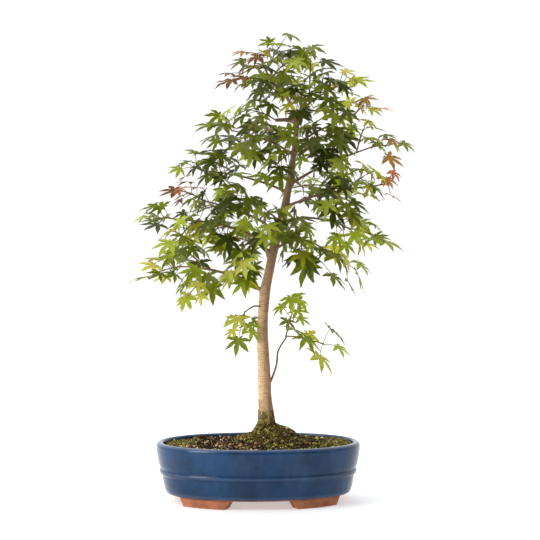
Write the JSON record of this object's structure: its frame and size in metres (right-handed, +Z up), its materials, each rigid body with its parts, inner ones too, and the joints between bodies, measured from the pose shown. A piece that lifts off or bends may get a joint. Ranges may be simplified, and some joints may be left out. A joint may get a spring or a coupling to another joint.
{
  "type": "potted bonsai maple tree",
  "caption": "Maple bonsai with a slender pale trunk and an airy crown of lobed leaves, in an oval blue glazed pot on four unglazed feet.",
  "frame": {"origin": "on the ground under the middle of the whole outline, 16 mm to the right of the middle of the pot", "axes": "+Z up along the trunk, +X to the right along the pot's long side, +Y from the front to the back"},
  "size_m": [0.3643, 0.2346, 0.5931],
  "materials": {
    "glaze": "glossy mottled blue glaze, bare terracotta on the feet and underside",
    "drainage_mesh": "matte",
    "soil": "rough granular substrate",
    "moss": "soft, matte",
    "bark": "smooth pale bark with darker specks",
    "leaf": "satin, thin and slightly translucent"
  },
  "bodies": {
    "root": {"pot": "glaze", "drainage_mesh_left": "drainage_mesh", "drainage_mesh_right": "drainage_mesh", "soil": "soil", "moss_mound": "moss", "moss_cushion_left": "moss", "moss_cushion_right": "moss", "trunk_and_branches": "bark", "leaf_spray_01": "leaf", "leaf_spray_02": "leaf", "leaf_spray_03": "leaf", "leaf_spray_04": "leaf", "leaf_spray_05": "leaf", "leaf_spray_06": "leaf", "leaf_spray_07": "leaf", "leaf_spray_08": "leaf", "leaf_spray_09": "leaf", "leaf_spray_10": "leaf", "leaf_spray_11": "leaf", "leaf_spray_12": "leaf", "leaf_spray_13": "leaf", "leaf_spray_14": "leaf", "leaf_spray_15": "leaf", "leaf_spray_16": "leaf", "leaf_spray_17": "leaf", "leaf_spray_18": "leaf", "leaf_spray_19": "leaf", "leaf_spray_20": "leaf", "leaf_spray_21": "leaf", "leaf_spray_22": "leaf", "leaf_spray_23": "leaf", "leaf_spray_24": "leaf", "leaf_spray_25": "leaf", "leaf_spray_26": "leaf", "leaf_spray_27": "leaf", "leaf_spray_28": "leaf", "leaf_spray_29": "leaf", "leaf_spray_30": "leaf", "leaf_spray_31": "leaf", "leaf_spray_32": "leaf", "leaf_spray_33": "leaf", "leaf_spray_34": "leaf", "leaf_spray_35": "leaf", "leaf_spray_36": "leaf", "leaf_spray_37": "leaf", "leaf_spray_38": "leaf", "leaf_spray_39": "leaf", "leaf_spray_40": "leaf", "leaf_spray_41": "leaf", "leaf_spray_42": "leaf", "leaf_spray_43": "leaf", "leaf_spray_44": "leaf", "leaf_spray_45": "leaf", "leaf_spray_46": "leaf", "leaf_spray_47": "leaf", "leaf_spray_48": "leaf", "leaf_spray_49": "leaf", "leaf_spray_50": "leaf", "leaf_spray_51": "leaf", "leaf_spray_52": "leaf"}
  },
  "joints": []
}
